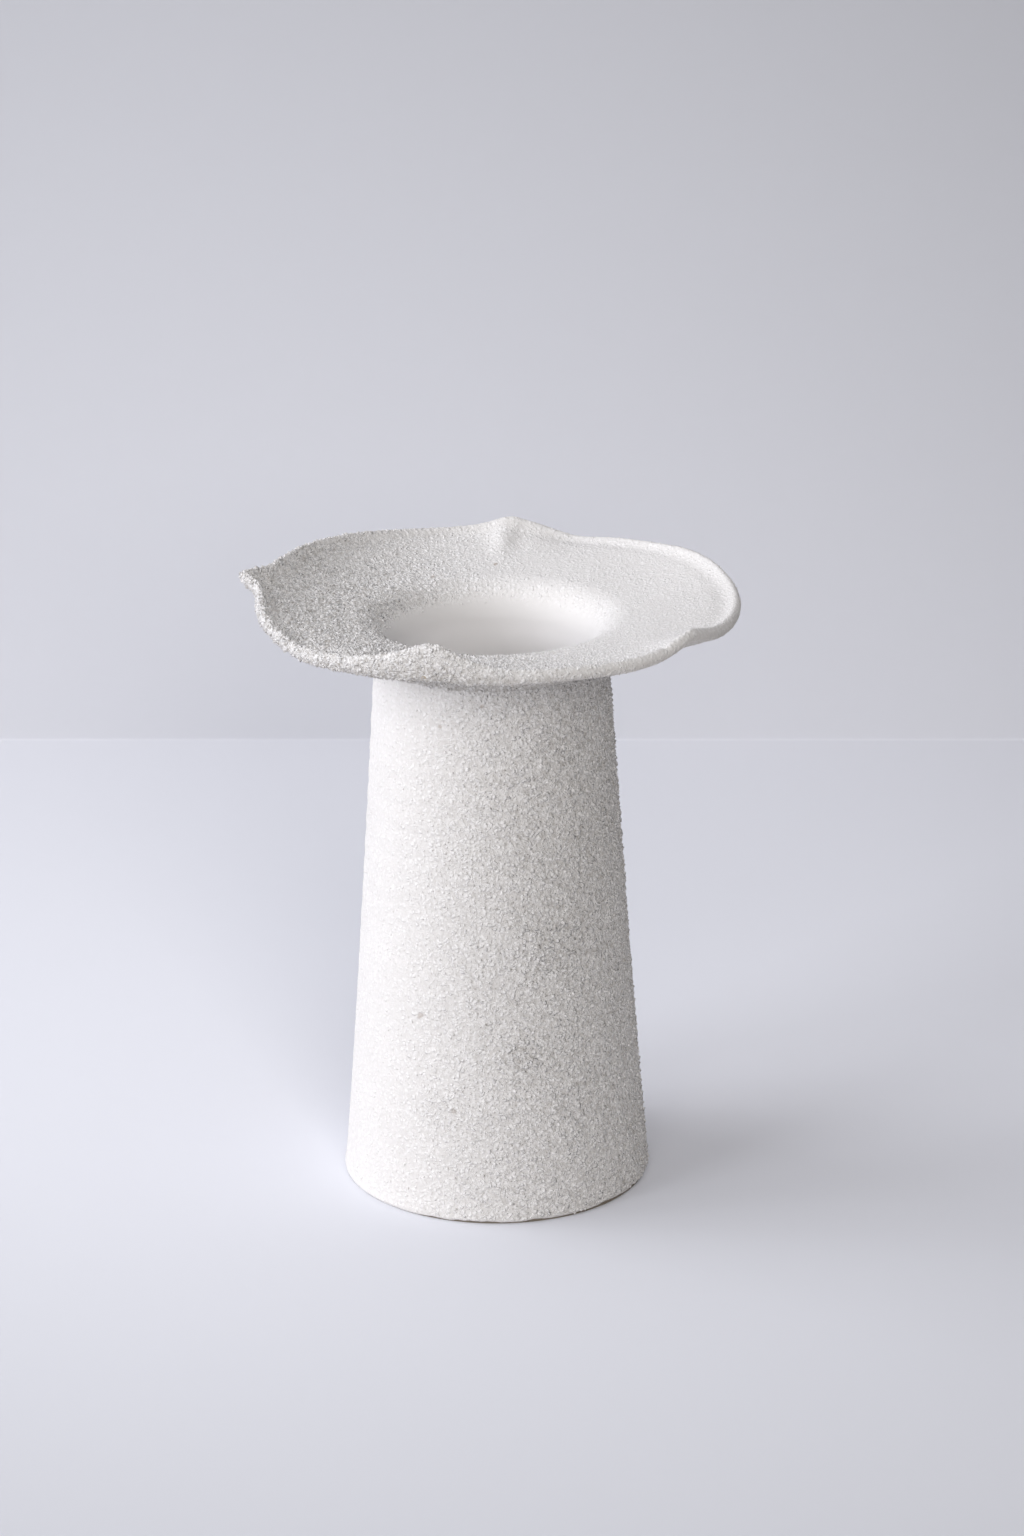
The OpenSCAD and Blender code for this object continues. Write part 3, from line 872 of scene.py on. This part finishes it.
def clay_material(look):
    write, shader = new_material("raw clay")[1:]
    speck_scale, speck_span, speck_cover, speck_share = 420.0, (0.15, 0.35), 0.6, 0.55
    foot_shade_ends, foot_shade_full, foot_shade_cover, foot_shade_share = 1.5, 0.5, 0.8, 0.25
    cloud_scale, dull, dullest, bump_strength, bump_depth = 90.0, 0.85, 0.95, 0.5, 0.3 * MM
    place = object_place(write)
    speck = write.ramp(write.cells(speck_scale, place)["Distance"], *speck_span, speck_cover, 0.0)
    cloud = write.noise(cloud_scale, detail=4.0, place=place)[0]
    specked = write.mixed(speck, opaque(look.clay), opaque(look.clay, speck_share))
    height = write.part(place, "Z")
    # Painted shade along the foot's lowest edge, where it meets the floor
    foot_shade = write.ramp(height, FOOT_SHADE_HEIGHT * foot_shade_ends, FOOT_SHADE_HEIGHT * foot_shade_full, 0.0, foot_shade_cover)
    tint = write.mixed(foot_shade, specked, opaque(look.clay, foot_shade_share))
    finish = write.ramp(cloud, *CLOUD_SPAN, dull, dullest)
    feed_shader(write, shader, tint, finish, cloud, bump_strength, bump_depth)


def material_named(name):
    """The vase's materials, made once."""
    if name not in bpy.data.materials:
        look = settings("grit")
        grit_material(look, grit_shader_group())
        liner_material(look)
        clay_material(look)
    return bpy.data.materials[name]


def place_piece(piece, slot, *nodes):
    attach(piece, BODY)
    if nodes:
        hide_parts(*nodes)


def grain_tree():
    """Scatters angular grains of sand over the finished face of a coat, each half sunk in it."""
    tree, write, given, result = geometry_tree("grain_scatter", {
        "Spacing": 0.0015, "Density": 1e6, "Grain size": 0.0006, "Sink": 0.1, "Seed": 3,
        "Material": "Material"})
    smallest, largest_adds, few_large = 0.7, 0.7, 3.0
    smooth_size, rough_adds = 0.4, 0.6
    thinnest, widest = (0.75,) * 3, (1.25,) * 3
    turn_seed, stretch_seed, size_seed, tone_seed = 11, 12, 13, 14
    cover = write.named("grit")
    spread = write.add("GeometryNodeDistributePointsOnFaces", {
        "Mesh": given["Geometry"], "Selection": write.math("GREATER_THAN", cover, LEAST_COVER),
        "Distance Min": given["Spacing"], "Density Max": given["Density"],
        "Density Factor": write.ramp(cover, LEAST_COVER, FULL_COVER), "Seed": given["Seed"]},
        distribute_method="POISSON")
    grain = write.add("GeometryNodeMeshUVSphere", {"Segments": 4, "Rings": 2, "Radius": 1.0})
    turn = write.random(turn_seed, (0.0,) * 3, (math.tau,) * 3)
    stretch = write.random(stretch_seed, thinnest, widest)
    chance = write.random(size_seed, 0.0, 1.0, "FLOAT")
    size = write.line(write.math("POWER", chance, few_large), largest_adds, smallest)
    size = write.times(size, write.line(write.named("rough"), rough_adds, smooth_size), given["Grain size"])
    sunk = write.scaled(spread.outputs["Normal"], write.times(given["Sink"], given["Grain size"], -1.0))
    points = write.change("GeometryNodeSetPosition", spread.outputs["Points"], {"Offset": sunk})
    placed = write.add("GeometryNodeInstanceOnPoints", {
        "Points": points, "Instance": grain.outputs["Mesh"], "Rotation": turn,
        "Scale": write.scaled(stretch, size)})
    tone = write.random(tone_seed, -1.0, 1.0, "FLOAT")
    toned = write.store(placed.outputs[0], "tone", tone, "INSTANCE")
    end_tree(write, write.change("GeometryNodeSetShadeSmooth", toned), given, result)
    return tree


def coat_piece(name, slot, node, rows, values, closed=True):
    """A coat turned from its section, in the place of one solid."""
    tree = bpy.data.node_groups.get("turned_coat") or turned_tree()
    piece = run_tree(name, section_mesh(name + "_section", rows, closed), tree, values)
    place_piece(piece, slot, node)
    return piece


def add_grains(coat, name, spacing, seed):
    """Grains on a coat, as a piece of their own."""
    tree = bpy.data.node_groups.get("grain_scatter") or grain_tree()
    values = tree_values("coarse grit", Spacing=spacing, Seed=seed)
    place_piece(run_tree(name, coat.data.copy(), tree, values), "white_grit")


class VASE_OT_body_coat(bpy.types.Operator):
    """Makes the grit coat of the turned body"""

    bl_idname = "vase.body_coat"
    bl_label = "Body grit coat"

    def execute(self, context):
        shape = Outline()
        pot, grit = shape.pot, settings("grit")
        step, fade_in, skip, sides, round_points = 0.93 * MM, 1.5 * MM, 24, 400, 5
        low_r = shape.side_radius(0) - pot.grit_thickness
        start_z = pot.bare_height
        face = [(low_r + pot.grit_thickness * math.sin(a), start_z + pot.coat_round * (1 - math.cos(a)))
                for a in np.linspace(0, math.pi / 2, round_points)]
        heights = evenly(start_z + pot.coat_round, pot.neck_height, step)
        face += [(shape.side_radius(z), z) for z in heights[1:]]
        face = np.array(face)
        back = np.array([(shape.side_radius(z) - pot.grit_thickness, z) for _, z in face])
        back[0] = face[0]
        out = np.stack([np.ones(len(face)), np.zeros(len(face))], axis=1)
        cover = np.clip((face[:, 1] - start_z) / fade_in, 0, 1)
        hem = np.clip(1 - (face[:, 1] - start_z) / CHIP_REACH, 0, 1)
        rows = loop_rows(face, back, cover, out, skip, hem=hem)
        values = tree_values("coarse grit", Sides=sides, Rough_side=grit.body_rough_side,
                             Band_depth=BAND_DEPTH, Chip_depth=CHIP_DEPTH)
        piece = coat_piece("body_grit", "white_grit", "body_grit_coat", rows, values)
        add_grains(piece, "body_grains", grit.body_spacing, 1)
        return {"FINISHED"}


class VASE_OT_leaf_coats(bpy.types.Operator):
    """Makes the grit coats on top of the leaf and under it"""

    bl_idname = "vase.leaf_coats"
    bl_label = "Leaf grit coats"

    def execute(self, context):
        shape = Outline()
        pot, leaf, grit = shape.pot, shape.leaf, settings("grit")
        step, thicken_over, skip, sides, down_lip = 0.85 * MM, 5 * MM, 7, 640, 0.9
        face = shape.face(step)
        line, share, low = face[:, :2], face[:, 2], face[:, 3]
        out = directions_out(line)
        out[-1] = (1, 0)
        start = int(np.argmax(line[:, 0] > shape.roll(shape.roll_end * leaf.grit_edge)[0])) - 1
        from_start = (np.arange(len(line)) - start) * step
        thick = pot.liner_thickness + (pot.grit_thickness - pot.liner_thickness) * np.clip(
            from_start / thicken_over, 0, 1)
        back = line - out * thick[:, None]
        low_corner = int(np.argmax((share == 1) & (line[:, 1] < shape.rim_z - leaf.lip * down_lip)))
        fade = np.clip(from_start / leaf.grit_fade, 0, 1)
        values = tree_values("coarse grit", Sides=sides, Rough_side=grit.leaf_rough_side)
        for name, node, first, last, spacing, seed in (
                ("leaf_top_grit", "leaf_top_grit_coat", start, low_corner, grit.leaf_spacing, 2),
                ("leaf_underside_grit", "leaf_underside_grit_coat", low_corner, len(line) - 1,
                 grit.underside_spacing, 3)):
            part = slice(first, last + 1)
            rows = loop_rows(line[part], back[part], fade[part], out[part], skip, share=share[part],
                             low=low[part], wavy=np.ones(len(line[part])))
            piece = coat_piece(name, "white_grit", node, rows, values)
            add_grains(piece, name.replace("grit", "grains"), spacing, seed)
        return {"FINISHED"}


class VASE_OT_liner(bpy.types.Operator):
    """Makes the smooth liner of throat, wall and floor"""

    bl_idname = "vase.liner"
    bl_label = "Smooth liner"

    def execute(self, context):
        shape = Outline()
        pot, leaf = shape.pot, shape.leaf
        wall_step, sides, coil_points, throat_points = 4 * MM, 256, 9, 16
        coil_top = pot.floor_height + pot.floor_coil
        coil_r = shape.inner_radius(coil_top) - pot.floor_coil
        clay = [(0.0, pot.floor_height), (coil_r, pot.floor_height)]
        clay += [(coil_r + pot.floor_coil * math.cos(a), coil_top + pot.floor_coil * math.sin(a))
                 for a in np.linspace(-math.pi / 2, 0, coil_points)[1:]]
        clay += [(shape.inner_radius(z), z) for z in evenly(coil_top, pot.neck_height, wall_step)[1:]]
        out = directions_out(clay)
        out[0] = (0, 1)
        face = [(max(p[0] + o[0] * pot.liner_thickness, 0.0), p[1] + o[1] * pot.liner_thickness)
                for p, o in zip(clay, out)]
        throat = [shape.roll(a) for a in np.linspace(0, shape.roll_end * leaf.grit_edge, throat_points)]
        behind = [(p[0] - o[0] * pot.liner_thickness, p[1] - o[1] * pot.liner_thickness)
                  for p, o in zip(throat, directions_out(throat))]
        rows = [dict(from_axis=r, above=z) for r, z in clay + behind + throat[::-1] + face[::-1]]
        values = tree_values("satin liner", Sides=sides)
        coat_piece("liner", "smooth_liner", "liner_glaze", rows, values, closed=False)
        return {"FINISHED"}


class VASE_OT_clay(bpy.types.Operator):
    """Gives the clay pieces their finish"""

    bl_idname = "vase.clay"
    bl_label = "Clay pieces"

    def execute(self, context):
        material = material_named("raw clay")
        for name in ("foot_ring", "floor_disc", "floor_coil", "body_wall", "neck_coil", "leaf_rim"):
            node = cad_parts[name]
            node.data.materials.clear()
            node.data.materials.append(material)
        return {"FINISHED"}


class VASE_OT_stage(bpy.types.Operator):
    """Sets the floor, backdrop, lamps and camera"""

    bl_idname = "vase.stage"
    bl_label = "Stage"

    def execute(self, context):
        look = settings("stage")
        self.backdrop(look)
        self.lamps()
        self.camera(look)
        context.scene.view_settings.view_transform = "Standard"
        return {"FINISHED"}

    def backdrop(self, look):
        width, front, height, cove = 3.0, -3.0, 2.4, 0.0015
        line = [(front, 0.0), (look.wall_distance - cove, 0.0)]
        line += [(look.wall_distance - cove + cove * math.sin(a), cove - cove * math.cos(a))
                 for a in np.linspace(0, math.pi / 2, 5)[1:]]
        line.append((look.wall_distance, height))
        points = [(x, y, z) for y, z in line for x in (-width, width)]
        faces = [(2 * i, 2 * i + 1, 2 * i + 3, 2 * i + 2) for i in range(len(line) - 1)]
        mesh = bpy.data.meshes.new("backdrop")
        mesh.from_pydata(points, [], faces)
        mesh.polygons.foreach_set("use_smooth", [True] * len(faces))
        sheet = add_object("backdrop", mesh)
        material, write, shader = new_material("backdrop_paper")
        # Painted light: the paper is brightest near one point behind the vase and darkens away from it
        away = write.vector("DISTANCE", object_place(write), PAPER_PAINTED_LIGHT_CENTRE)
        tone = write.line(write.math("POWER", away, 2.0), -PAPER_PAINTED_LIGHT_FADE, PAPER_PAINTED_LIGHT_PEAK)
        seen = write.add("ShaderNodeLightPath").outputs["Is Camera Ray"]
        tint = write.mixed(seen, opaque(look.bounce), opaque(look.paper))
        shade = write.math("MAXIMUM", tone, PAPER_PAINTED_LIGHT_LEAST)
        write.feed(shader.inputs["Base Color"], write.scaled(tint, shade))
        shader.inputs["Roughness"].default_value = PAPER_ROUGHNESS
        shader.inputs["Specular IOR Level"].default_value = PAPER_SHINE
        behind = write.add("ShaderNodeNewGeometry").outputs["Backfacing"]
        clear = write.add("ShaderNodeBsdfTransparent").outputs[0]
        mix = write.add("ShaderNodeMixShader", {0: behind, 1: shader.outputs[0], 2: clear})
        write.feed(material.node_tree.nodes["Material Output"].inputs["Surface"], mix.outputs[0])
        mesh.materials.append(material)

    def lamps(self):
        for name, place, size, power, tint in LAMPS:
            data = bpy.data.lights.new(name, "AREA")
            data.energy = power
            data.color = tint
            data.size = size
            lamp = add_object(name, data)
            lamp.location = place
            aim = Vector(LAMP_TARGET) - lamp.location
            lamp.rotation_euler = aim.to_track_quat("-Z", "Y").to_euler()
            lamp.visible_camera = False
        world = bpy.data.worlds.new("room")
        bpy.context.scene.world = world
        world.use_nodes = True
        background = world.node_tree.nodes["Background"].inputs
        background["Color"].default_value = ROOM_COLOUR
        background["Strength"].default_value = ROOM_STRENGTH

    def camera(self, look):
        data = bpy.data.cameras.new("camera")
        data.sensor_width = SENSOR
        data.lens = look.focal_pixels / PHOTO_HEIGHT * SENSOR
        data.clip_start = 10 * MM
        forward = Vector((0, math.cos(look.pitch), -math.sin(look.pitch)))
        camera = add_object("camera", data)
        camera.location = Vector((look.target_x, 0, look.target_z)) - forward * look.distance
        camera.rotation_euler = (math.pi / 2 - look.pitch, 0, 0)
        bpy.context.scene.camera = camera


class VASE_PT_panel(bpy.types.Panel):
    """Lists the steps that build the vase"""

    bl_label = "Vase"
    bl_idname = "VASE_PT_panel"
    bl_space_type = "VIEW_3D"
    bl_region_type = "UI"
    bl_category = "Vase"

    def draw(self, context):
        for step in STEPS:
            self.layout.operator(step.bl_idname)


GROUPS = {"pot": VasePot, "leaf": VaseLeaf, "grit": VaseGrit, "stage": VaseStage}
STEPS = (VASE_OT_stage, VASE_OT_clay, VASE_OT_liner, VASE_OT_body_coat, VASE_OT_leaf_coats)


def register():
    for group in GROUPS.values():
        bpy.utils.register_class(group)
    for name, group in GROUPS.items():
        setattr(bpy.types.Scene, "vase_" + name, PointerProperty(type=group))
    for step in (*STEPS, VASE_PT_panel):
        bpy.utils.register_class(step)


def unregister():
    for step in reversed((*STEPS, VASE_PT_panel)):
        bpy.utils.unregister_class(step)
    for name in GROUPS:
        delattr(bpy.types.Scene, "vase_" + name)
    for group in reversed(GROUPS.values()):
        bpy.utils.unregister_class(group)


def main():
    register()
    for step in STEPS:
        family, name = step.bl_idname.split(".")
        getattr(getattr(bpy.ops, family), name)()


if __name__ == "__main__":
    main()
